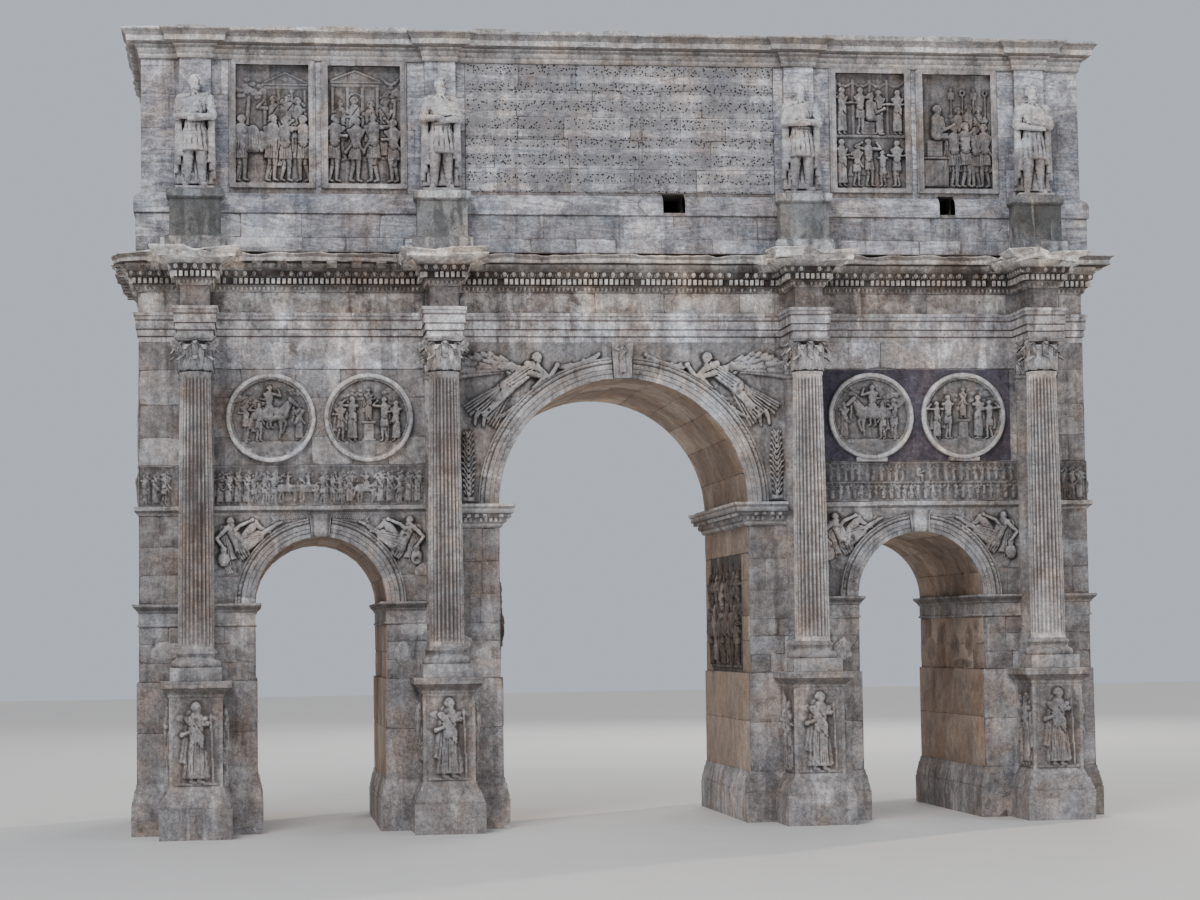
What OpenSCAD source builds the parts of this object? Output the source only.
// Triumphal arch with three passages, free columns and a hollow attic.
// Frame: X along the width, Y from the front (-Y) to the back (+Y), Z up.
// Origin: centre of the footprint, on the ground.

/* [Passages and piers] */
// Width of the centre passage
centre_passage_w = 6500; // [5200:10:7600]
// Width of each side passage
side_passage_w = 3340; // [2600:10:4000]
// Width of each pier between the centre and a side passage
inner_pier_w = 2890; // [2500:10:3400]
// Width of each pier at the ends
outer_pier_w = 2880; // [2500:10:3400]
// Depth of the piers from front to back
body_d = 6560; // [5200:10:7900]
// Height of the springing line of the side passages
side_spring = 5790; // [5000:10:6900]
// Height from a side crown to the string course above it
side_key_h = 560; // [520:10:700]
// Height from the centre crown to the architrave
centre_key_h = 935; // [800:5:1150]

/* [Pier mouldings] */
// Height of the plain plinth at the foot of the piers and pedestals
plinth_h = 760; // [600:10:900]
// Height of the sloping moulding on that plinth
plinth_mould_h = 520; // [400:10:620]
// How far the plinth stands out from a pier
plinth_out = 180; // [140:5:210]
// How far the lower zone of the piers stands out from the wall above
lower_zone_out = 50; // [20:5:80]
// Drop from the head of a pedestal to the head of the lower zone
zone_drop = 40; // [20:5:60]
// Height of a side impost, neck and cap together
side_impost_h = 570; // [460:5:680]
// How far a side impost stands out
side_impost_out = 180; // [140:5:215]
// Height of a centre impost
centre_impost_h = 600; // [480:5:720]
// How far a centre impost stands out
centre_impost_out = 420; // [300:5:500]
// Height of the string course
string_h = 230; // [180:5:280]
// How far the string course stands out
string_out = 150; // [110:5:170]

/* [Arches] */
// Width of the centre arch ring on the face
centre_ring_w = 540; // [440:5:640]
// Width of a side arch ring on the face
side_ring_w = 490; // [400:5:500]
// How far the arch rings stand out from the wall
ring_out = 120; // [90:5:150]
// How far the keystones stand out from the wall
key_out = 300; // [200:5:400]
// Width of a keystone at its foot
key_foot_w = 450; // [360:5:520]
// Width of a keystone at its head
key_head_w = 560; // [530:5:640]

/* [Column bases] */
// How far the foot of the round base stands out from the shaft
base_foot_out = 150; // [130:5:160]
// Radius of the lower roll
lower_roll_r = 55; // [45:1:60]
// Distance from the shaft to the centre of the lower roll
lower_roll_out = 125; // [115:1:130]
// Radius of the hollow between the rolls
base_hollow_r = 50; // [40:1:55]
// Distance from the shaft to the centre of the hollow
base_hollow_out = 105; // [100:1:115]
// Radius of the upper roll
upper_roll_r = 40; // [30:1:45]
// Distance from the shaft to the centre of the upper roll
upper_roll_out = 50; // [45:1:60]
// Width of the flat fillet at the foot of the shaft
base_fillet = 30; // [20:1:40]

/* [Columns] */
// Diameter of a shaft at its foot
shaft_foot_d = 900; // [750:5:1080]
// Diameter of a shaft at its head
shaft_head_d = 756; // [630:2:900]
// Number of flutes round a shaft
flutes = 24; // [16:4:24]
// Width of the flat fillet between two flutes, at the foot
flute_fillet = 30; // [24:1:36]
// Plain height above and below the flutes
flute_margin = 130; // [100:5:180]
// How far the top slab of a capital reaches past the block above it
abacus_lip = 80; // [60:5:100]
// Height of a pedestal
pedestal_h = 3870; // [3300:10:4640]
// How far the body of a pedestal stands out from the block above it
pedestal_margin = 15; // [5:1:30]
// How far the mouldings of a pedestal stand out from it
pedestal_out = 245; // [180:5:270]
// Height of the crowning mouldings of a pedestal
pedestal_cap_h = 390; // [320:5:460]
// Depth of the sunk field on three faces of a pedestal
pedestal_field_d = 30; // [20:5:50]
// Width of the flat border round that field
pedestal_border = 90; // [60:5:140]
// Height of the square block under a column base
base_block_h = 330; // [260:5:400]
// How far that block stands out from the shaft
base_block_lip = 190; // [180:5:220]
// Height of the round mouldings of a column base
base_mould_h = 440; // [360:5:520]
// Height of a capital
capital_h = 885; // [735:5:1060]
// Number of leaves in each of the two rows of a capital
leaves = 8; // [8:4:12]
// How far a pilaster stands out from the wall
pilaster_out = 180; // [160:5:220]
// How far the base of a pilaster stands out from it
pilaster_base_out = 90; // [60:5:100]
// Clear gap between a pilaster base and the block of its column
pilaster_gap = 54; // [20:2:90]

/* [Entablature] */
// Height of the architrave
architrave_h = 745; // [620:5:880]
// How far the top of the architrave stands out
architrave_out = 130; // [100:5:155]
// How far the foot of an architrave block stands out from the shaft head
block_lip = 62; // [40:2:80]
// Height of the frieze
frieze_h = 540; // [450:5:640]
// How far a frieze block stands back from the shaft head
frieze_block_in = 18; // [0:2:40]
// Height of the main cornice
cornice_h = 970; // [810:5:1150]
// Distance between the dentils of the main cornice
dentil_pitch = 158; // [140:1:200]
// Width of a dentil
dentil_w = 100; // [80:5:120]
// Distance between the brackets under the main cornice
bracket_pitch = 630; // [520:10:760]
// Width of a bracket
bracket_w = 210; // [160:5:260]
// Distance from the wall to the broken edge where the cornice is lost
lost_edge_out = 520; // [500:10:600]
// How far the main cornice stands out
cornice_out = 800; // [680:5:900]

/* [Attic] */
// How far the attic wall stands in front of the wall below
attic_forward = 370; // [300:5:440]
// How far each end of the attic stands back from the wall below
attic_end_in = 80; // [60:5:120]
// Thickness of the long attic walls
attic_wall_t = 1200; // [1000:10:1400]
// Thickness of the short attic walls
attic_end_t = 1500; // [1250:10:1800]
// Height of the base zone of the attic
attic_base_h = 1510; // [1400:10:1800]
// How far that base zone stands out
attic_base_out = 130; // [80:5:160]
// Height of the attic wall between its base zone and its cornice
attic_wall_h = 3440; // [2900:10:4000]
// Height of the attic cornice
attic_cornice_h = 700; // [580:5:840]
// How far the attic cornice stands out
attic_cornice_out = 500; // [420:5:600]
// Thickness of each of the two roof slabs on the cornice
roof_slab_t = 65; // [50:5:90]
// How far each roof slab steps back from what it lies on
roof_step = 380; // [250:10:420]
// Width of the flat strip behind each statue
strip_w = 800; // [700:10:900]
// How far that strip stands out
strip_out = 160; // [120:5:190]
// Distance from a statue strip to the nearest relief panel
panel_side = 442; // [300:2:520]
// Gap between the two panels of a pair
panel_gap = 140; // [100:10:180]
// Height from the base zone to the foot of a panel
panel_lift = 150; // [120:5:200]
// Width of the frame of a panel
panel_frame_w = 110; // [80:5:140]
// How far the frame of a panel stands out
panel_frame_out = 60; // [40:5:80]
// Depth of the recess that holds a carved panel
panel_recess = 140; // [100:5:180]
// Thickness of a carved panel
panel_t = 90; // [60:5:95]
// Distance from a middle statue strip to the bare field between them
field_side = 245; // [150:5:320]
// Thickness of the slabs of that field
field_t = 20; // [15:5:40]

/* [Statues] */
// How far the body of a statue pedestal is wider than the strip, on each side
statue_block_side = 240; // [180:5:280]
// How far its mouldings stand out from its body
statue_block_lip = 90; // [60:5:120]
// Clear height from the head of a figure to the attic cornice
figure_headroom = 490; // [300:10:600]
// Depth of the base that a figure stands on, from the strip outwards
figure_foot_d = 480; // [420:5:560]

/* [Carved slabs] */
// Radius of a roundel
roundel_r = 1145; // [950:5:1190]
// Clear gap between the two roundels of a bay
roundel_gap = 195; // [120:5:260]
// Clear height from the frieze band to a roundel
roundel_lift = 55; // [40:5:90]
// Clear height from a roundel to the blank band above it
roundel_head = 110; // [60:5:160]
// Thickness of a roundel
roundel_t = 110; // [90:5:140]
// Width of the ring of a roundel
roundel_ring_w = 110; // [80:5:140]
// Thickness of the carved disc inside that ring
roundel_disc_t = 60; // [45:5:80]
// Height of the carved frieze band
band_h = 1040; // [860:5:1200]
// Thickness of the carved frieze band
band_t = 60; // [40:5:90]
// Thickness of the carved spandrels
spandrel_t = 50; // [40:5:80]
// Thickness of the dark facing behind one pair of roundels
facing_t = 30; // [20:5:40]
// Width of the bare margin round that facing
facing_margin = 160; // [120:5:200]
// Length of a passage relief
passage_relief_l = 4500; // [3750:10:5000]
// Height from the lower zone to the foot of a passage relief
passage_relief_lift = 100; // [60:10:160]
// Height from a passage relief to the impost above it
passage_relief_head = 720; // [500:10:860]
// Thickness of a passage relief
passage_relief_t = 60; // [40:5:100]

/* [Attic windows] */
// Width of the wider window
window_w = 580; // [480:10:700]
// Width of the narrower window
slit_w = 420; // [340:10:500]
// Height of both windows
window_h = 520; // [420:10:560]
// Distance of the wider window from the middle
window_x = 1350; // [1120:10:1620]
// Distance of the narrower window from the middle
slit_x = 8620; // [8300:10:8900]
// How far the windows reach above the base zone
window_rise = 70; // [40:5:85]

/* [Hidden] */

marble = "#c9bfae";
warm_marble = "#bda58d";
grey_marble = "#b9bcc0";
dark_stone = "#4a3b40";
round_fn = 96;
fine_fn = 24;
// Depth by which one shape reaches into the next where they are joined or cut
joint = 5;

// Places across the width
centre_r = centre_passage_w / 2;
side_r = side_passage_w / 2;
inner_pier_x0 = centre_r;
inner_pier_x1 = inner_pier_x0 + inner_pier_w;
outer_pier_x0 = inner_pier_x1 + side_passage_w;
body_x = outer_pier_x0 + outer_pier_w;
side_x = inner_pier_x1 + side_r;
inner_column_x = inner_pier_x0 + inner_pier_w / 2;
outer_column_x = outer_pier_x0 + outer_pier_w / 2;
column_xs = [-outer_column_x, -inner_column_x, inner_column_x, outer_column_x];
block_half = shaft_head_d / 2 + block_lip;
frieze_block_half = shaft_head_d / 2 - frieze_block_in;
base_block_half = shaft_foot_d / 2 + base_block_lip;
pedestal_half = base_block_half + pedestal_margin;
bay_x0 = inner_column_x + block_half;
bay_x1 = outer_column_x - block_half;
bay_x = (bay_x0 + bay_x1) / 2;
end_x = outer_column_x + block_half;
core_x = inner_pier_x0 + centre_ring_w;
strips_clear = outer_column_x - inner_column_x - strip_w;
panel_w = (strips_clear - panel_gap - 2 * panel_side) / 2;
field_half = inner_column_x - strip_w / 2 - field_side;
statue_block_half = strip_w / 2 + statue_block_side;
roundel_step = roundel_r + roundel_gap / 2;

// Places from front to back
wall_y = body_d / 2;
column_out = pilaster_out + pilaster_base_out + pilaster_gap + base_block_half;
column_y = wall_y + column_out;
attic_x = body_x - attic_end_in;
attic_y = wall_y + attic_forward;
strip_y = attic_y + strip_out;
statue_block_out = strip_out + figure_foot_d + 2 * joint;

// Heights
zone_z = pedestal_h - zone_drop;
side_crown = side_spring + side_r;
string_z = side_crown + side_key_h;
centre_spring = string_z + string_h;
centre_crown = centre_spring + centre_r;
architrave_z = centre_crown + centre_key_h;
frieze_z = architrave_z + architrave_h;
cornice_z = frieze_z + frieze_h;
attic_z = cornice_z + cornice_h;
attic_wall_z = attic_z + attic_base_h;
attic_cornice_z = attic_wall_z + attic_wall_h;
roof_z = attic_cornice_z + attic_cornice_h;
top_z = roof_z + 2 * roof_slab_t;
band_z = centre_spring;
roundel_z = band_z + band_h + roundel_lift + roundel_r;
votive_z = roundel_z + roundel_r + roundel_head;
base_z = pedestal_h + base_block_h;
shaft_z = base_z + base_mould_h;
capital_z = architrave_z - capital_h;
die_z = plinth_h + plinth_mould_h;
figure_z = attic_z + attic_base_h;
figure_h = attic_wall_h - figure_headroom;
window_top_z = attic_wall_z + window_rise;
sill_z = window_top_z - window_h;
relief_z = zone_z + passage_relief_lift;
relief_top_z = centre_spring - centre_impost_h - passage_relief_head;
crown_z = cornice_z + cornice_h * 0.87;

// Dentils and brackets of the main cornice
dentil_z = cornice_z + cornice_h * 0.2;
dentil_h = cornice_h * 0.14;
dentil_back = cornice_out * 0.21;
dentil_out = cornice_out * 0.1;
bracket_z = cornice_z + cornice_h * 0.61;
bracket_h = cornice_h * 0.13 + joint;
bracket_back = cornice_out * 0.43;
bracket_out = cornice_out * 0.31;

// Column capitals
abacus_h = capital_h * 0.13;
abacus_half = block_half + abacus_lip;
bell_r = shaft_head_d / 2;
leaf_out = bell_r * 0.42;

// Profiles are lists of [height, distance out] from the foot to the head
function pier_profile() = [
    [0, plinth_out], [plinth_h, plinth_out], [plinth_h, plinth_out * 0.83],
    [plinth_h + plinth_mould_h * 0.35, plinth_out * 0.72],
    [plinth_h + plinth_mould_h * 0.7, plinth_out * 0.5],
    [die_z, lower_zone_out], [zone_z, lower_zone_out], [zone_z, 0], [centre_spring, 0]
];
function pedestal_profile() = [
    [0, pedestal_out], [plinth_h, pedestal_out], [plinth_h, pedestal_out * 0.84],
    [plinth_h + plinth_mould_h * 0.35, pedestal_out * 0.72],
    [plinth_h + plinth_mould_h * 0.7, pedestal_out * 0.3], [die_z, 0],
    [pedestal_h - pedestal_cap_h, 0], [pedestal_h - pedestal_cap_h * 0.8, pedestal_out * 0.2],
    [pedestal_h - pedestal_cap_h * 0.62, pedestal_out * 0.6],
    [pedestal_h - pedestal_cap_h * 0.45, pedestal_out * 0.72],
    [pedestal_h - pedestal_cap_h * 0.45, pedestal_out * 0.92],
    [pedestal_h - pedestal_cap_h * 0.15, pedestal_out * 0.92],
    [pedestal_h - pedestal_cap_h * 0.15, pedestal_out], [pedestal_h, pedestal_out]
];
function side_impost_profile() = [
    [side_spring - side_impost_h, side_impost_out * 0.22],
    [side_spring - side_impost_h * 0.9, side_impost_out * 0.22],
    [side_spring - side_impost_h * 0.9, side_impost_out * 0.11],
    [side_spring - side_impost_h * 0.39, side_impost_out * 0.11],
    [side_spring - side_impost_h * 0.33, side_impost_out * 0.28],
    [side_spring - side_impost_h * 0.16, side_impost_out * 0.8],
    [side_spring - side_impost_h * 0.1, side_impost_out * 0.85],
    [side_spring - side_impost_h * 0.1, side_impost_out],
    [side_spring, side_impost_out]
];
function centre_impost_profile() = [
    [centre_spring - centre_impost_h, centre_impost_out * 0.12],
    [centre_spring - centre_impost_h * 0.8, centre_impost_out * 0.3],
    [centre_spring - centre_impost_h * 0.8, centre_impost_out * 0.45],
    [centre_spring - centre_impost_h * 0.55, centre_impost_out * 0.45],
    [centre_spring - centre_impost_h * 0.4, centre_impost_out * 0.75],
    [centre_spring - centre_impost_h * 0.4, centre_impost_out * 0.85],
    [centre_spring - centre_impost_h * 0.18, centre_impost_out * 0.88],
    [centre_spring - centre_impost_h * 0.1, centre_impost_out],
    [centre_spring, centre_impost_out]
];
function string_profile() = [
    [string_z, string_out * 0.2], [string_z + string_h * 0.3, string_out * 0.45],
    [string_z + string_h * 0.55, string_out * 0.9],
    [string_z + string_h * 0.55, string_out], [centre_spring, string_out]
];
function architrave_profile() = [
    [architrave_z, architrave_out * 0.15], [architrave_z + architrave_h * 0.2, architrave_out * 0.15],
    [architrave_z + architrave_h * 0.2, architrave_out * 0.35],
    [architrave_z + architrave_h * 0.44, architrave_out * 0.35],
    [architrave_z + architrave_h * 0.44, architrave_out * 0.55],
    [architrave_z + architrave_h * 0.76, architrave_out * 0.55],
    [architrave_z + architrave_h * 0.82, architrave_out * 0.65],
    [architrave_z + architrave_h * 0.9, architrave_out * 0.95],
    [architrave_z + architrave_h * 0.9, architrave_out], [frieze_z, architrave_out]
];
function cornice_profile() = [
    [cornice_z, cornice_out * 0.03], [cornice_z + cornice_h * 0.1, cornice_out * 0.07],
    [cornice_z + cornice_h * 0.17, cornice_out * 0.19], [cornice_z + cornice_h * 0.18, dentil_back],
    [cornice_z + cornice_h * 0.36, dentil_back], [cornice_z + cornice_h * 0.36, cornice_out * 0.32],
    [cornice_z + cornice_h * 0.46, cornice_out * 0.36], [cornice_z + cornice_h * 0.56, cornice_out * 0.42],
    [cornice_z + cornice_h * 0.58, bracket_back], [cornice_z + cornice_h * 0.74, bracket_back],
    [cornice_z + cornice_h * 0.74, cornice_out * 0.81], [crown_z, cornice_out * 0.82],
    [crown_z, cornice_out * 0.85],
    [cornice_z + cornice_h * 0.92, cornice_out * 0.87], [cornice_z + cornice_h * 0.97, cornice_out * 0.97],
    [cornice_z + cornice_h * 0.97, cornice_out], [attic_z, cornice_out]
];
function attic_base_profile() = [
    [attic_z, attic_base_out], [attic_z + attic_base_h * 0.65, attic_base_out],
    [attic_z + attic_base_h * 0.65, attic_base_out * 1.35],
    [attic_z + attic_base_h * 0.85, attic_base_out * 1.35],
    [attic_z + attic_base_h * 0.93, attic_base_out * 1.1],
    [attic_wall_z, 0], [window_top_z, 0]
];
function attic_cornice_profile() = [
    [attic_cornice_z, attic_cornice_out * 0.12],
    [attic_cornice_z + attic_cornice_h * 0.19, attic_cornice_out * 0.12],
    [attic_cornice_z + attic_cornice_h * 0.19, attic_cornice_out * 0.18],
    [attic_cornice_z + attic_cornice_h * 0.36, attic_cornice_out * 0.18],
    [attic_cornice_z + attic_cornice_h * 0.43, attic_cornice_out * 0.3],
    [attic_cornice_z + attic_cornice_h * 0.5, attic_cornice_out * 0.3],
    [attic_cornice_z + attic_cornice_h * 0.57, attic_cornice_out * 0.72],
    [attic_cornice_z + attic_cornice_h * 0.78, attic_cornice_out * 0.74],
    [attic_cornice_z + attic_cornice_h * 0.83, attic_cornice_out * 0.8], [roof_z, attic_cornice_out]
];
function statue_block_profile() = [
    [attic_z, statue_block_lip * 1.5], [attic_z + attic_base_h * 0.2, statue_block_lip * 1.5],
    [attic_z + attic_base_h * 0.24, 0], [figure_z - attic_base_h * 0.17, 0],
    [figure_z - attic_base_h * 0.12, statue_block_lip], [figure_z, statue_block_lip]
];

// Outline across a block whose two edges follow a profile
function outline(a0, a1, profile, low, high) = concat(
    [for (p = profile) [a0 - low * p[1], p[0]]],
    [for (i = [len(profile) - 1:-1:0]) [a1 + high * profile[i][1], profile[i][0]]]
);

// Block with the profile on its four sides, 0 where a side stays plain
module moulded(x0, x1, y0, y1, profile, left = 1, right = 1, front = 1, back = 1) {
    reach = max([for (p = profile) p[1]]);
    intersection() {
        translate([0, y1 + reach, 0])
            rotate([90, 0, 0])
                linear_extrude(y1 - y0 + 2 * reach)
                    polygon(outline(x0, x1, profile, left, right));
        translate([x0 - reach, 0, 0])
            rotate([90, 0, 90])
                linear_extrude(x1 - x0 + 2 * reach)
                    polygon(outline(y0, y1, profile, front, back));
    }
}

// Plain block between two corners
module block(x0, x1, y0, y1, z0, z1) {
    translate([x0, y0, z0])
        cube([x1 - x0, y1 - y0, z1 - z0]);
}

// The same piece on the left and on the right
module both_sides() {
    for (s = [0, 1])
        mirror([s, 0, 0])
            children();
}

// The same piece on the front and on the back
module both_faces() {
    for (s = [0, 1])
        mirror([0, s, 0])
            children();
}

// A piece at each column, front and back
module at_columns() {
    both_faces()
        for (x = column_xs)
            translate([x, -column_y, 0])
                children();
}

module outer_pier() {
    moulded(outer_pier_x0, body_x, -wall_y, wall_y, pier_profile());
}

module inner_pier() {
    moulded(inner_pier_x0, inner_pier_x1, -wall_y, wall_y, pier_profile());
}

module pier_left_outer() {
    color(marble)
        mirror([1, 0, 0])
            outer_pier();
}

module pier_left_inner() {
    color(marble)
        mirror([1, 0, 0])
            inner_pier();
}

module pier_right_inner() {
    color(marble)
        inner_pier();
}

module pier_right_outer() {
    color(marble)
        outer_pier();
}

module side_vault() {
    difference() {
        block(inner_pier_x1, outer_pier_x0, -wall_y, wall_y, side_spring, centre_spring);
        translate([side_x, wall_y + 1, side_spring])
            rotate([90, 0, 0])
                cylinder(r = side_r, h = body_d + 2, $fn = round_fn);
    }
}

module vault_left() {
    color(marble)
        mirror([1, 0, 0])
            side_vault();
}

module vault_right() {
    color(marble)
        side_vault();
}

module vault_centre() {
    color(marble)
        difference() {
            block(-core_x, core_x, -wall_y, wall_y, centre_spring, architrave_z);
            translate([0, wall_y + 1, centre_spring])
                rotate([90, 0, 0])
                    cylinder(r = centre_r, h = body_d + 2, $fn = round_fn);
        }
}

module upper_wall_left() {
    color(marble)
        block(-body_x, -core_x, -wall_y, wall_y, centre_spring, architrave_z);
}

module upper_wall_right() {
    color(marble)
        block(core_x, body_x, -wall_y, wall_y, centre_spring, architrave_z);
}

// Half ring on the front face, with three flat bands
module arch_ring(r, w) {
    rotate([90, 0, 0])
        rotate_extrude(angle = 180, $fn = round_fn)
            polygon([
                [r, 0], [r + w, 0], [r + w, ring_out], [r + w * 0.82, ring_out],
                [r + w * 0.76, ring_out * 0.75], [r + w * 0.42, ring_out * 0.75],
                [r + w * 0.42, ring_out * 0.55], [r, ring_out * 0.55]
            ]);
}

module archivolts() {
    color(marble)
        both_faces() {
            translate([0, -wall_y, centre_spring])
                difference() {
                    arch_ring(centre_r, centre_ring_w);
                    translate([0, 0, -centre_spring])
                        keystone_shape(centre_crown, architrave_z);
                }
            both_sides()
                translate([side_x, -wall_y, side_spring])
                    difference() {
                        arch_ring(side_r, side_ring_w);
                        translate([0, 0, -side_spring])
                            keystone_shape(side_crown, string_z);
                    }
        }
}

// Wedge of a keystone between two heights, standing out from the wall plane
module keystone_shape(z0, z1) {
    rotate([90, 0, 0])
        linear_extrude(key_out)
            polygon([
                [-key_foot_w / 2, z0 - 1], [key_foot_w / 2, z0 - 1],
                [key_head_w / 2, z1], [-key_head_w / 2, z1]
            ]);
}

module keystones() {
    color(marble)
        both_faces() {
            translate([0, -wall_y, 0])
                keystone(centre_crown, architrave_z);
            both_sides()
                translate([side_x, -wall_y, 0])
                    keystone(side_crown, string_z);
        }
}

module keystone(z0, z1) {
    intersection() {
        keystone_shape(z0, z1);
        rotate([90, 0, 90])
            translate([0, 0, -key_head_w])
                linear_extrude(2 * key_head_w)
                    polygon([
                        [0, z0], [-key_out * 0.55, z0], [-key_out * 0.7, z0 + (z1 - z0) * 0.3],
                        [-key_out * 0.75, z0 + (z1 - z0) * 0.6], [-key_out, z0 + (z1 - z0) * 0.85],
                        [-key_out, z1], [0, z1]
                    ]);
    }
}

module imposts_centre() {
    color(marble)
        both_sides()
            difference() {
                moulded(inner_pier_x0, inner_column_x - block_half, -wall_y, wall_y,
                    centre_impost_profile(), right = 0);
                block(inner_pier_x0, inner_pier_x1, -wall_y, wall_y, 0, top_z);
            }
}

module imposts_side() {
    color(marble)
        both_sides() {
            difference() {
                moulded(bay_x0, inner_pier_x1, -wall_y, wall_y, side_impost_profile(), left = 0);
                block(inner_pier_x0, inner_pier_x1, -wall_y, wall_y, 0, top_z);
            }
            difference() {
                moulded(outer_pier_x0, bay_x1, -wall_y, wall_y, side_impost_profile(), right = 0);
                block(outer_pier_x0, body_x, -wall_y, wall_y, 0, top_z);
            }
            difference() {
                moulded(end_x, body_x, -wall_y, wall_y, side_impost_profile(), left = 0);
                block(outer_pier_x0, body_x, -wall_y, wall_y, 0, top_z);
            }
        }
}

module string_courses() {
    color(marble)
        both_sides() {
            both_faces()
                moulded(bay_x0, bay_x1, -wall_y, -wall_y, string_profile(), left = 0, right = 0, back = 0);
            difference() {
                moulded(end_x, body_x, -wall_y, wall_y, string_profile(), left = 0);
                block(outer_pier_x0, body_x, -wall_y, wall_y, 0, top_z);
            }
        }
}

// Slab on the front wall with a round opening cut out of its foot
module spandrel(x0, x1, z0, z1, arch_x, arch_z, r) {
    difference() {
        block(x0, x1, -wall_y - spandrel_t, -wall_y, z0, z1);
        translate([arch_x, -wall_y + 1, arch_z])
            rotate([90, 0, 0])
                cylinder(r = r, h = spandrel_t + 2, $fn = round_fn);
        block(arch_x - key_head_w / 2, arch_x + key_head_w / 2, -wall_y - key_out, -wall_y, z0 - 1, z1 + 1);
    }
}

module spandrel_panels() {
    color(marble)
        both_faces() {
            spandrel(-inner_column_x + block_half, inner_column_x - block_half,
                centre_spring + centre_r * 0.02, architrave_z, 0, centre_spring, centre_r + centre_ring_w);
            both_sides()
                spandrel(bay_x0, bay_x1, side_spring + side_r * 0.42, string_z,
                    side_x, side_spring, side_r + side_ring_w);
        }
}

module frieze_bands() {
    color(marble)
        both_sides() {
            both_faces()
                block(bay_x0, bay_x1, -wall_y - band_t, -wall_y, band_z, band_z + band_h);
            difference() {
                block(end_x, body_x + band_t, -wall_y - band_t, wall_y + band_t, band_z, band_z + band_h);
                block(core_x, body_x, -wall_y, wall_y, 0, top_z);
            }
        }
}

// Round carved slab with a raised ring, facing the front
module roundel() {
    rotate([90, 0, 0])
        rotate_extrude($fn = round_fn)
            polygon([
                [0, 0], [roundel_r, 0], [roundel_r, roundel_t * 0.7],
                [roundel_r - roundel_ring_w * 0.3, roundel_t],
                [roundel_r - roundel_ring_w * 0.7, roundel_t],
                [roundel_r - roundel_ring_w, roundel_disc_t], [0, roundel_disc_t]
            ]);
}

module roundels() {
    color(marble) {
        both_faces()
            both_sides()
                for (s = [-1, 1])
                    translate([bay_x + s * roundel_step, -wall_y, roundel_z])
                        roundel();
        both_sides()
            translate([body_x, 0, roundel_z])
                rotate([0, 0, 90])
                    roundel();
    }
}

module roundel_backing() {
    color(dark_stone)
        difference() {
            block(bay_x0 + facing_margin, bay_x1 - facing_margin, -wall_y - facing_t, -wall_y,
                band_z + band_h + roundel_lift / 2, votive_z - roundel_head / 4);
            for (s = [-1, 1])
                translate([bay_x + s * roundel_step, -wall_y + 1, roundel_z])
                    rotate([90, 0, 0])
                        cylinder(r = roundel_r, h = facing_t + 2, $fn = round_fn);
        }
}

module passage_reliefs() {
    color(warm_marble)
        both_sides()
            block(centre_r - passage_relief_t, centre_r, -passage_relief_l / 2, passage_relief_l / 2,
                relief_z, relief_top_z);
}

module column_pedestals() {
    color(marble)
        both_faces()
            for (x = column_xs)
                difference() {
                    moulded(x - pedestal_half, x + pedestal_half, -column_y - pedestal_half, -wall_y,
                        pedestal_profile(), back = 0);
                    both_sides() {
                        inner_pier();
                        outer_pier();
                    }
                    translate([x, -column_y, 0])
                        pedestal_fields();
                }
}

// Space of the sunk fields on the front and the two sides of a pedestal
module pedestal_fields() {
    inside = pedestal_half - pedestal_field_d;
    half = pedestal_half - pedestal_border;
    z0 = die_z + pedestal_border / 2;
    z1 = pedestal_h - pedestal_cap_h - pedestal_border / 2;
    block(-half, half, -pedestal_half - 1, -inside, z0, z1);
    for (s = [-1, 1])
        translate([s * (pedestal_half + inside + 1) / 2, 0, 0])
            block(-(pedestal_field_d + 1) / 2, (pedestal_field_d + 1) / 2, -half, half, z0, z1);
}

module column_base() {
    block(-base_block_half, base_block_half, -base_block_half, base_block_half, pedestal_h, base_z);
    translate([0, 0, base_z])
        rotate_extrude($fn = round_fn)
            polygon(base_profile(shaft_foot_d / 2));
}

// Half outline of the round mouldings: two rolls with a hollow between them
function base_profile(r) = concat(
    [[0, 0], [r + base_foot_out, 0]],
    roll(r + lower_roll_out, lower_roll_r, 0.19, 0.19),
    roll(r + base_hollow_out, -base_hollow_r, 0.55, 0.13),
    roll(r + upper_roll_out, upper_roll_r, 0.8, 0.1),
    [[r + base_fillet, base_mould_h * 0.92], [r + base_fillet, base_mould_h], [0, base_mould_h]]
);

// A roll, or a hollow below nought, at a middle height and half height given as shares of the base
function roll(out, r, middle, half) = [
    for (a = [-60:30:60]) [out + r * cos(a), base_mould_h * (middle + half * sin(a) / sin(60))]
];

module column_bases() {
    color(marble)
        at_columns()
            column_base();
}

// Tapering shaft with round flutes that lean inwards with it
module column_shaft() {
    shaft_h = capital_z - shaft_z;
    lean = atan((shaft_foot_d - shaft_head_d) / 2 / shaft_h);
    flute_r = (PI * shaft_head_d / flutes - flute_fillet * 0.8) / 2;
    translate([0, 0, shaft_z])
        difference() {
            cylinder(d1 = shaft_foot_d, d2 = shaft_head_d, h = shaft_h, $fn = round_fn);
            for (i = [0:flutes - 1])
                rotate([0, 0, (i + 0.5) * 360 / flutes])
                    translate([shaft_foot_d / 2, 0, 0])
                        rotate([0, -lean, 0])
                            translate([flute_r * 0.12, 0, flute_margin])
                                cylinder(r = flute_r, h = shaft_h - 2 * flute_margin, $fn = fine_fn);
        }
}

module column_shafts() {
    color(warm_marble)
        at_columns()
            column_shaft();
}

// Side outline of one leaf that climbs the bell and curls outwards, from [distance out, height]
function leaf_outline(h) = [
    [-bell_r * 0.15, 0], [bell_r * 0.08, 0], [bell_r * 0.12, h * 0.55], [leaf_out * 0.7, h * 0.86],
    [leaf_out * 0.8, h * 0.76], [leaf_out, h * 0.82], [leaf_out * 0.8, h], [-bell_r * 0.15, h * 0.72]
];

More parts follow.
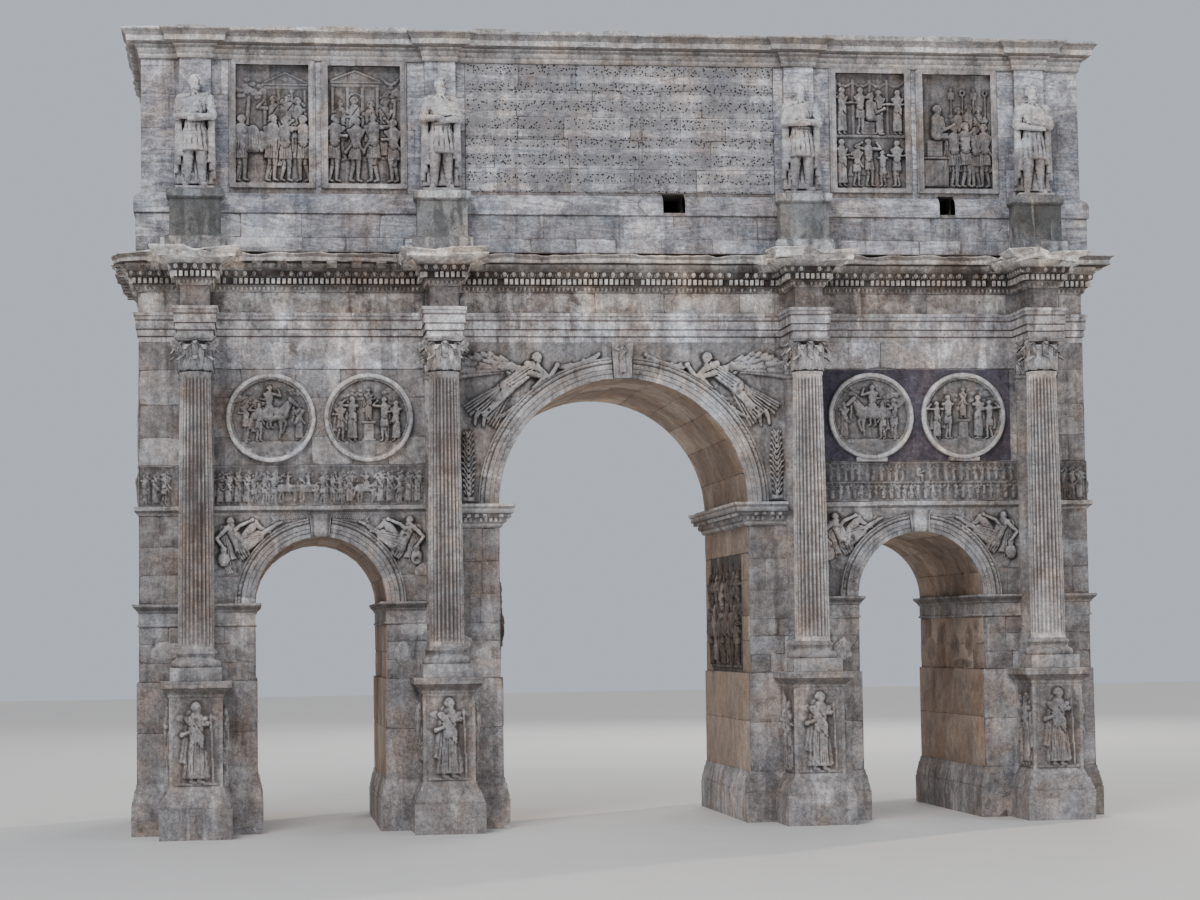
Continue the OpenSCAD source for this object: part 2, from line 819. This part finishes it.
// Front outline of the same leaf, with one notch on each side
function leaf_front(h, w) = [
    [-w * 0.34, -1], [w * 0.34, -1], [w * 0.5, h * 0.42], [w * 0.36, h * 0.5], [w * 0.4, h * 0.74],
    [w * 0.2, h + 1], [-w * 0.2, h + 1], [-w * 0.4, h * 0.74], [-w * 0.36, h * 0.5], [-w * 0.5, h * 0.42]
];

module leaf(h) {
    w = 2 * PI * bell_r / leaves * 0.94;
    intersection() {
        rotate([90, 0, 0])
            linear_extrude(w, center = true)
                polygon([for (p = leaf_outline(h)) [bell_r + p[0], p[1]]]);
        rotate([90, 0, 90])
            linear_extrude(bell_r + 2 * leaf_out)
                polygon(leaf_front(h, w));
    }
}

// Corner scroll with the stem that carries it out from the bell
module volute() {
    scroll_r = capital_h * 0.085;
    z = capital_h - abacus_h - scroll_r + 2 * joint;
    rotate([90, 0, 0])
        linear_extrude(scroll_r * 1.5, center = true) {
            translate([abacus_half * 1.12, z])
                circle(r = scroll_r, $fn = fine_fn);
            polygon([
                [bell_r * 0.8, capital_h * 0.5], [bell_r * 1.08, capital_h * 0.5],
                [bell_r * 1.2, capital_h * 0.68], [abacus_half * 1.12, z - scroll_r * 0.2],
                [abacus_half * 1.12, z + scroll_r * 0.8], [bell_r * 0.8, z + scroll_r * 0.8]
            ]);
        }
}

// Square top slab with four hollow sides and cut corners
module abacus() {
    hollow = abacus_half * 3;
    difference() {
        block(-abacus_half, abacus_half, -abacus_half, abacus_half, capital_h - abacus_h, capital_h);
        for (a = [0:90:270])
            rotate([0, 0, a])
                translate([hollow + abacus_half * 0.86, 0, capital_h - abacus_h - 1])
                    cylinder(r = hollow, h = abacus_h * 0.6 + 1, $fn = round_fn);
    }
}

module column_capital() {
    translate([0, 0, capital_z]) {
        rotate_extrude($fn = round_fn)
            polygon([
                [0, 0], [bell_r * 1.1, 0], [bell_r * 1.12, capital_h * 0.03],
                [bell_r * 1.1, capital_h * 0.06], [bell_r, capital_h * 0.07],
                [bell_r, capital_h * 0.6], [bell_r * 1.06, capital_h * 0.75],
                [bell_r * 1.14, capital_h - abacus_h + joint], [0, capital_h - abacus_h + joint]
            ]);
        abacus();
        for (i = [0:leaves - 1]) {
            rotate([0, 0, i * 360 / leaves])
                translate([0, 0, capital_h * 0.04])
                    leaf(capital_h * 0.34);
            rotate([0, 0, (i + 0.5) * 360 / leaves])
                translate([0, 0, capital_h * 0.04])
                    leaf(capital_h * 0.57);
        }
        for (a = [45:90:315])
            rotate([0, 0, a])
                volute();
        for (a = [0:90:270])
            rotate([0, 0, a])
                translate([abacus_half * 0.7, 0, capital_h - abacus_h * 0.55])
                    rotate([0, 90, 0])
                        cylinder(r = abacus_h * 0.5, h = abacus_half * 0.26, $fn = fine_fn);
    }
}

module column_capitals() {
    color(marble)
        at_columns()
            column_capital();
}

function pilaster_profile() = [
    [pedestal_h, pilaster_base_out], [base_z, pilaster_base_out], [base_z, pilaster_base_out * 0.9],
    [base_z + base_mould_h * 0.35, pilaster_base_out * 0.9],
    [base_z + base_mould_h * 0.5, pilaster_base_out * 0.45],
    [base_z + base_mould_h * 0.9, pilaster_base_out * 0.35], [shaft_z, 0],
    [capital_z, 0], [capital_z + capital_h * 0.04, pilaster_base_out * 0.3],
    [capital_z + capital_h * 0.07, 0], [capital_z + capital_h * 0.55, pilaster_base_out * 0.1],
    [architrave_z - abacus_h, pilaster_base_out * 0.8], [architrave_z, pilaster_base_out * 0.9]
];

module pilasters() {
    color(marble)
        both_faces()
            for (x = column_xs)
                moulded(x - block_half, x + block_half, -wall_y - pilaster_out, -wall_y,
                    pilaster_profile(), left = 0, right = 0, back = 0);
}

module architrave_block() {
    moulded(-block_half, block_half, -block_half, column_y - wall_y, architrave_profile(), back = 0);
}

module architrave_blocks() {
    color(marble)
        at_columns()
            architrave_block();
}

module architrave() {
    color(marble)
        difference() {
            moulded(-body_x, body_x, -wall_y, wall_y, architrave_profile());
            at_columns()
                architrave_block();
        }
}

module main_frieze() {
    color(marble)
        block(-body_x, body_x, -wall_y, wall_y, frieze_z, cornice_z);
}

module frieze_blocks() {
    color(marble)
        at_columns()
            block(-frieze_block_half, frieze_block_half, -frieze_block_half, column_y - wall_y,
                frieze_z, cornice_z);
}

// Outline of a row of teeth that stand out from a flat band along x
function comb(x0, x1, pitch, w, back, out) =
    let (n = floor((x1 - x0 - w) / pitch + 0.01), start = (x0 + x1 - n * pitch - w) / 2)
    concat(
        [[x1, 2 * joint - back], [x0, 2 * joint - back]],
        [for (i = [0:n], p = [[0, joint - back], [0, -back - out], [w, -back - out], [w, joint - back]])
            [start + i * pitch + p[0], p[1]]]
    );

module dentils(x0, x1) {
    translate([0, 0, dentil_z])
        linear_extrude(dentil_h)
            polygon(comb(x0, x1, dentil_pitch, dentil_w, dentil_back, dentil_out));
}

module brackets(x0, x1) {
    translate([0, 0, bracket_z])
        linear_extrude(bracket_h)
            polygon(comb(x0, x1, bracket_pitch, bracket_w, bracket_back, bracket_out));
}

// Cornice of one column block, with teeth on the front and on both sides
module cornice_block() {
    depth = column_y - wall_y;
    reach = frieze_block_half + dentil_back + dentil_out;
    moulded(-frieze_block_half, frieze_block_half, -frieze_block_half, depth, cornice_profile(), back = 0);
    translate([0, -frieze_block_half, 0])
        dentils(-reach, reach);
    for (s = [-1, 1])
        mirror([max(-s, 0), 0, 0])
            rotate([0, 0, 90])
                translate([0, -frieze_block_half, 0])
                    dentils(dentil_w / 2 - reach, depth - dentil_back);
}

module cornice_blocks() {
    color(warm_marble)
        at_columns()
            cornice_block();
}

// Part of a bay of the main cornice, cut away between two heights from a distance out
module lost_cornice(x0, x1, from, z0) {
    block(x0, x1, -wall_y - cornice_out - 1, -wall_y - from, z0, attic_z + 1);
}

module main_cornice() {
    edge = frieze_block_half + cornice_out;
    teeth_in = frieze_block_half + dentil_back + dentil_out;
    bays = [
        [-outer_column_x, -inner_column_x], [-inner_column_x, inner_column_x],
        [inner_column_x, outer_column_x]
    ];
    color(warm_marble)
        difference() {
            union() {
                moulded(-body_x, body_x, -wall_y, wall_y, cornice_profile());
                both_faces()
                    for (b = bays)
                        translate([0, -wall_y, 0]) {
                            dentils(b[0] + teeth_in, b[1] - teeth_in);
                            brackets(b[0] + edge, b[1] - edge);
                        }
                both_sides()
                    rotate([0, 0, 90])
                        translate([0, -body_x, 0]) {
                            dentils(-wall_y - dentil_back, wall_y + dentil_back);
                            brackets(-wall_y - bracket_back, wall_y + bracket_back);
                        }
            }
            at_columns()
                moulded(-frieze_block_half, frieze_block_half, -frieze_block_half, column_y - wall_y,
                    cornice_profile(), back = 0);
            both_faces()
                for (b = bays)
                    lost_cornice(b[0] + edge, b[1] - edge, lost_edge_out, crown_z);
            for (b = [bays[1], bays[2]])
                lost_cornice(b[0] + edge, b[1] - edge, lost_edge_out, cornice_z + cornice_h * 0.59);
        }
}

// One long attic wall with the strips behind the statues, before its panels are sunk
module long_attic_wall() {
    block(-attic_x, attic_x, -attic_y, -attic_y + attic_wall_t, window_top_z, attic_cornice_z);
    statue_strips(window_top_z, attic_cornice_z);
}

module statue_strips(z0, z1) {
    for (x = column_xs)
        block(x - strip_w / 2, x + strip_w / 2, -strip_y, -attic_y + joint, z0, z1);
}

// Base zone of one long attic wall between two heights
module long_attic_base(z0, z1) {
    intersection() {
        union() {
            moulded(-attic_x, attic_x, -attic_y, -attic_y + attic_wall_t, attic_base_profile(), back = 0);
            statue_strips(attic_wall_z, window_top_z);
        }
        block(-body_x, body_x, -column_y, 0, z0, z1);
    }
}

module attic_base_front() {
    color(grey_marble)
        long_attic_base(attic_z, sill_z);
}

module attic_base_back() {
    color(grey_marble)
        mirror([0, 1, 0])
            long_attic_base(attic_z, window_top_z);
}

module attic_base_ends() {
    color(grey_marble)
        both_sides()
            moulded(attic_x - attic_end_t, attic_x, -attic_y + attic_wall_t, attic_y - attic_wall_t,
                attic_base_profile(), left = 0, front = 0, back = 0);
}

// Three long blocks at the height of the windows, which are the gaps between them
module window_blocks() {
    color(grey_marble)
        difference() {
            long_attic_base(sill_z, window_top_z);
            for (w = [[window_x, window_w / 2], [slit_x, slit_w / 2]])
                block(w[0] - w[1], w[0] + w[1], -column_y, 0, sill_z - 1, window_top_z + 1);
        }
}

// Space of one relief panel inside its frame, between two distances from the attic wall plane
module panel_block(s, from, to) {
    x = bay_x + s * (panel_w + panel_gap) / 2;
    half = panel_w / 2 - panel_frame_w;
    block(x - half, x + half, -attic_y - to, -attic_y - from,
        attic_wall_z + panel_lift + panel_frame_w, attic_cornice_z - panel_frame_w);
}

module sunk_attic_wall() {
    difference() {
        long_attic_wall();
        both_sides()
            for (s = [-1, 1])
                panel_block(s, -panel_recess, 1);
    }
}

module attic_front_wall() {
    color(grey_marble)
        sunk_attic_wall();
}

module attic_back_wall() {
    color(grey_marble)
        mirror([0, 1, 0])
            sunk_attic_wall();
}

module short_attic_wall() {
    difference() {
        block(attic_x - attic_end_t, attic_x, -attic_y + attic_wall_t, attic_y - attic_wall_t,
            window_top_z, attic_cornice_z);
        block(attic_x - panel_recess, attic_x + 1, -panel_w / 2 + panel_frame_w,
            panel_w / 2 - panel_frame_w, attic_wall_z + panel_lift + panel_frame_w,
            attic_cornice_z - panel_frame_w);
    }
}

module attic_left_wall() {
    color(grey_marble)
        mirror([1, 0, 0])
            short_attic_wall();
}

module attic_right_wall() {
    color(grey_marble)
        short_attic_wall();
}

module roof_block() {
    block(-attic_x + attic_end_t, attic_x - attic_end_t, -attic_y + attic_wall_t, attic_y - attic_wall_t,
        attic_cornice_z, roof_z);
}

module attic_cornice() {
    color(grey_marble)
        difference() {
            union() {
                moulded(-attic_x, attic_x, -attic_y, attic_y, attic_cornice_profile());
                both_faces()
                    for (x = column_xs)
                        moulded(x - strip_w / 2, x + strip_w / 2, -strip_y, -attic_y,
                            attic_cornice_profile(), back = 0);
            }
            roof_block();
        }
}

// Roof deck between the walls, with two stepped layers of slabs that reach out over the cornice
module attic_roof() {
    color(grey_marble) {
        roof_block();
        for (i = [1, 2]) {
            out = attic_cornice_out - i * roof_step;
            block(-attic_x - out, attic_x + out, -attic_y - out, attic_y + out,
                roof_z, roof_z + i * roof_slab_t);
        }
    }
}

// Frame of one panel, centred on x = 0, standing out from y = 0
module panel_frame() {
    z0 = attic_wall_z + panel_lift;
    difference() {
        block(-panel_w / 2, panel_w / 2, -panel_frame_out, 0, z0, attic_cornice_z);
        block(-panel_w / 2 + panel_frame_w, panel_w / 2 - panel_frame_w, -panel_frame_out - 1, 1,
            z0 + panel_frame_w, attic_cornice_z - panel_frame_w);
    }
}

module attic_frames() {
    color(grey_marble) {
        both_faces()
            both_sides()
                for (s = [-1, 1])
                    translate([bay_x + s * (panel_w + panel_gap) / 2, -attic_y, 0])
                        panel_frame();
        both_sides()
            translate([attic_x, 0, 0])
                rotate([0, 0, 90])
                    panel_frame();
    }
}

module attic_reliefs() {
    color(marble) {
        both_faces()
            both_sides()
                for (s = [-1, 1])
                    panel_block(s, -panel_recess, panel_t - panel_recess);
        both_sides()
            block(attic_x - panel_recess, attic_x - panel_recess + panel_t, -panel_w / 2 + panel_frame_w,
                panel_w / 2 - panel_frame_w, attic_wall_z + panel_lift + panel_frame_w,
                attic_cornice_z - panel_frame_w);
    }
}

module inscription_slabs() {
    color(grey_marble)
        both_faces()
            block(-field_half, field_half, -attic_y - field_t, -attic_y,
                attic_wall_z + panel_lift * 0.6, attic_cornice_z);
}

module statue_pedestals() {
    color(grey_marble)
        both_faces()
            for (x = column_xs)
                difference() {
                    moulded(x - statue_block_half, x + statue_block_half, -attic_y - statue_block_out,
                        -attic_y, statue_block_profile(), back = 0);
                    long_attic_base(attic_z, window_top_z);
                }
}

// Plain standing figure in a long cloak: foot slab, two legs, cloak, shoulders, folded arms and head
module figure() {
    h = figure_h;
    y = -strip_y - figure_foot_d / 2 - joint;
    translate([0, y, figure_z]) {
        translate([-h * 0.17, -figure_foot_d / 2, 0])
            cube([h * 0.34, figure_foot_d, h * 0.03]);
        for (s = [-1, 1]) {
            translate([s * h * 0.06, -h * 0.01, h * 0.02])
                cylinder(r1 = h * 0.032, r2 = h * 0.045, h = h * 0.4, $fn = fine_fn);
            translate([s * h * 0.06, -h * 0.035, h * 0.045])
                rotate([0, 90, 0])
                    cylinder(r = h * 0.026, h = h * 0.05, center = true, $fn = fine_fn);
        }
        translate([0, 0, h * 0.33])
            cylinder(r1 = h * 0.082, r2 = h * 0.075, h = h * 0.32, $fn = fine_fn);
        translate([0, 0, h * 0.65])
            cylinder(r1 = h * 0.075, r2 = h * 0.083, h = h * 0.13, $fn = fine_fn);
        translate([0, 0, h * 0.78])
            cylinder(r1 = h * 0.083, r2 = h * 0.035, h = h * 0.06, $fn = fine_fn);
        translate([0, 0, h * 0.82])
            cylinder(r = h * 0.036, h = h * 0.06, $fn = fine_fn);
        translate([0, 0, h * 0.93])
            sphere(r = h * 0.07, $fn = fine_fn);
        for (s = [-1, 1]) {
            translate([s * h * 0.105, 0, h * 0.76])
                sphere(r = h * 0.045, $fn = fine_fn);
            translate([s * h * 0.115, 0, h * 0.57])
                cylinder(r1 = h * 0.032, r2 = h * 0.042, h = h * 0.2, $fn = fine_fn);
            translate([s * h * 0.115, 0, h * 0.58])
                rotate([80, 0, -s * 62])
                    cylinder(r1 = h * 0.034, r2 = h * 0.024, h = h * 0.13, $fn = fine_fn);
        }
        rotate([0, 0, 20])
            translate([0, 0, h * 0.02])
                rotate_extrude(angle = 140, $fn = fine_fn)
                    polygon([[h * 0.05, 0], [h * 0.077, 0], [h * 0.079, h * 0.74], [h * 0.05, h * 0.74]]);
    }
}

module statues() {
    color(grey_marble)
        both_faces()
            for (x = column_xs)
                translate([x, 0, 0])
                    figure();
}

pier_left_outer();
pier_left_inner();
pier_right_inner();
pier_right_outer();
vault_left();
vault_right();
vault_centre();
upper_wall_left();
upper_wall_right();
archivolts();
keystones();
imposts_centre();
imposts_side();
string_courses();
spandrel_panels();
frieze_bands();
roundels();
roundel_backing();
passage_reliefs();
column_pedestals();
column_bases();
column_shafts();
column_capitals();
pilasters();
architrave();
architrave_blocks();
main_frieze();
frieze_blocks();
main_cornice();
cornice_blocks();
attic_base_front();
attic_base_back();
attic_base_ends();
window_blocks();
attic_front_wall();
attic_back_wall();
attic_left_wall();
attic_right_wall();
attic_cornice();
attic_roof();
attic_frames();
attic_reliefs();
inscription_slabs();
statue_pedestals();
statues();
